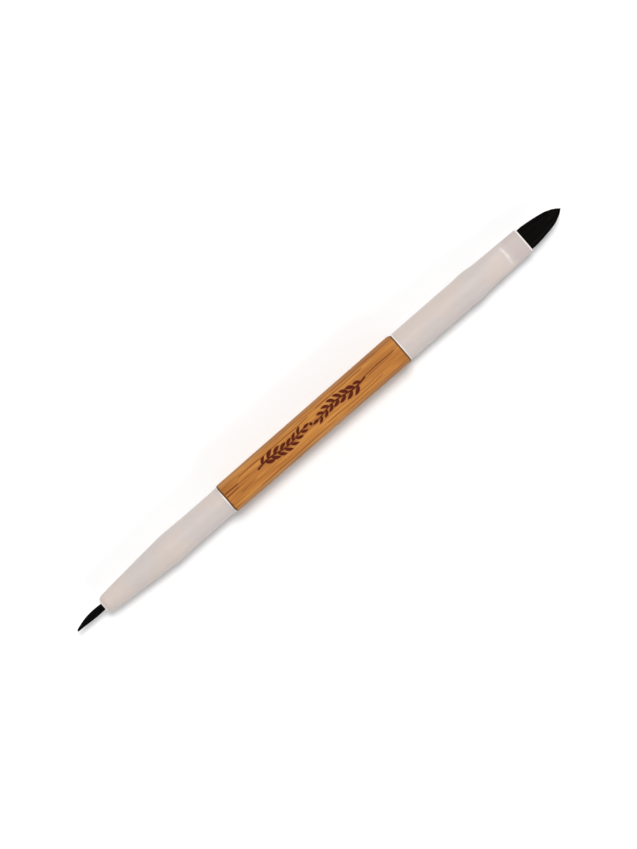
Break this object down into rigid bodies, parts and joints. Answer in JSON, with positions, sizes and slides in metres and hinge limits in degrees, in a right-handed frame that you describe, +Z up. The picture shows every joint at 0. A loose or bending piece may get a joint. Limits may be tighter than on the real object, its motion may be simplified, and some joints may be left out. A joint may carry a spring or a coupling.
{
  "type": "double-ended make-up brush",
  "caption": "Double-ended make-up brush lying flat: bamboo grip, off-white lacquered ferrules, a pointed flat tuft at one end and a fine liner tuft at the other.",
  "frame": {"origin": "on the surface that the brush lies on, under the middle of its overall length and width", "axes": "+X along the brush towards the flat tuft, +Z up and square to the flat tuft's wide face, +Y across"},
  "size_m": [0.16, 0.0086, 0.0084],
  "materials": {
    "bamboo": "carbonised bamboo with a thin satin varnish and fine lengthwise fibres",
    "white_lacquer": "thin aluminium under a pearly off-white satin lacquer",
    "black_filament": "black synthetic filaments with a soft sheen",
    "epoxy": "clear amber epoxy",
    "cotton_thread": "matt undyed thread"
  },
  "bodies": {
    "handle": {"bamboo_grip": "bamboo", "flat_ferrule": "white_lacquer", "flat_tenon_glue": "epoxy", "flat_ferrule_resin": "epoxy", "flat_tuft_root": "black_filament", "flat_tuft_binding": "cotton_thread", "liner_ferrule": "white_lacquer", "liner_tenon_glue": "epoxy", "liner_ferrule_resin": "epoxy", "liner_tuft_root": "black_filament", "liner_tuft_binding": "cotton_thread"},
    "flat_hair": {"flat_tuft": "black_filament"},
    "liner_hair": {"liner_tuft": "black_filament"}
  },
  "joints": [
    {"name": "flat_tuft_flex", "type": "hinge", "parent": "handle", "child": "flat_hair", "pos_m": [0.06945, 0, 0.0042], "axis": [0, 1, 0], "range_deg": [-18, 18], "stiffness_Nm_per_rad": 0.006},
    {"name": "liner_tuft_flex", "type": "hinge", "parent": "handle", "child": "liner_hair", "pos_m": [-0.07218, 0, 0.0042], "axis": [0, 0, 1], "range_deg": [-25, 25], "stiffness_Nm_per_rad": 0.0005}
  ]
}
